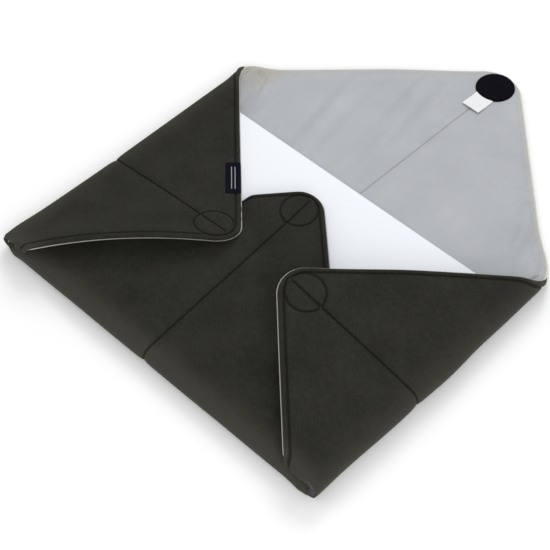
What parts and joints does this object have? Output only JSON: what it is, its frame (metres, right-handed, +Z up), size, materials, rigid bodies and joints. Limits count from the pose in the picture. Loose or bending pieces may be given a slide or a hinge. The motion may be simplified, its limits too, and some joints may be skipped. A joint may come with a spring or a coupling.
{
  "type": "padded corner-fold wrap",
  "caption": "Square padded equipment wrap with hook discs, three corners folded in over a flat board and the rear corner open.",
  "frame": {"origin": "middle of the bounding box's underside, on the table the wrap lies on", "axes": "+Z up from the table, +Y towards the tip of the open rear flap, +X to the right flap's side"},
  "size_m": [0.3774, 0.4793, 0.0635],
  "materials": {
    "knit_cover": "soft knit",
    "foam": "closed-cell padding",
    "lining": "woven nylon with a faint sheen",
    "thread": "matt thread",
    "hook_tape": "hook pile",
    "woven_tag": "woven satin",
    "care_label": "smooth tape",
    "board": "smooth matt"
  },
  "bodies": {
    "base": {"base_cover": "knit_cover", "base_foam": "foam", "base_lining": "lining", "base_stitching": "thread", "left_fold_cover": "knit_cover", "left_fold_foam": "foam", "left_fold_lining": "lining", "right_fold_cover": "knit_cover", "right_fold_foam": "foam", "right_fold_lining": "lining", "front_fold_cover": "knit_cover", "front_fold_foam": "foam", "front_fold_lining": "lining", "rear_fold_cover": "knit_cover", "rear_fold_foam": "foam", "rear_fold_lining": "lining"},
    "insert": {"insert_board": "board"},
    "left_flap": {"left_flap_cover": "knit_cover", "left_flap_foam": "foam", "left_flap_lining": "lining", "left_flap_stitching": "thread", "left_hook_disc": "hook_tape", "brand_tag": "woven_tag"},
    "right_flap": {"right_flap_cover": "knit_cover", "right_flap_foam": "foam", "right_flap_lining": "lining", "right_flap_stitching": "thread", "right_hook_disc": "hook_tape"},
    "front_flap": {"front_flap_cover": "knit_cover", "front_flap_foam": "foam", "front_flap_lining": "lining", "front_flap_stitching": "thread", "front_hook_disc": "hook_tape", "front_margin_cover": "knit_cover", "front_margin_foam": "foam", "front_margin_lining": "lining"},
    "rear_flap": {"rear_flap_cover": "knit_cover", "rear_flap_foam": "foam", "rear_flap_lining": "lining", "rear_flap_stitching": "thread", "rear_hook_disc": "hook_tape", "care_label": "care_label"}
  },
  "joints": [
    {"name": "insert_slide", "type": "slide", "parent": "base", "child": "insert", "axis": [0, 1, 0], "range_m": [0, 0.145]},
    {"name": "left_flap_fold", "type": "hinge", "parent": "base", "child": "left_flap", "pos_m": [-0.18875, -0.10918, 0.0125], "axis": [0, -1, 0], "range_deg": [0, 168], "deforming": ["left_fold_cover", "left_fold_foam", "left_fold_lining"]},
    {"name": "right_flap_fold", "type": "hinge", "parent": "base", "child": "right_flap", "pos_m": [0.18875, -0.10918, 0.0125], "axis": [0, 1, 0], "range_deg": [-15, 163], "deforming": ["right_fold_cover", "right_fold_foam", "right_fold_lining"]},
    {"name": "front_flap_fold", "type": "hinge", "parent": "base", "child": "front_flap", "pos_m": [-0.00325, -0.23968, 0.009], "axis": [1, 0, 0], "range_deg": [0, 175], "deforming": ["front_fold_cover", "front_fold_foam", "front_fold_lining", "front_margin_cover", "front_margin_foam", "front_margin_lining"]},
    {"name": "rear_flap_fold", "type": "hinge", "parent": "base", "child": "rear_flap", "pos_m": [-0.00325, 0.06818, 0.0161], "axis": [-1, 0, 0], "range_deg": [-180, 0], "deforming": ["rear_fold_cover", "rear_fold_foam", "rear_fold_lining"]}
  ]
}
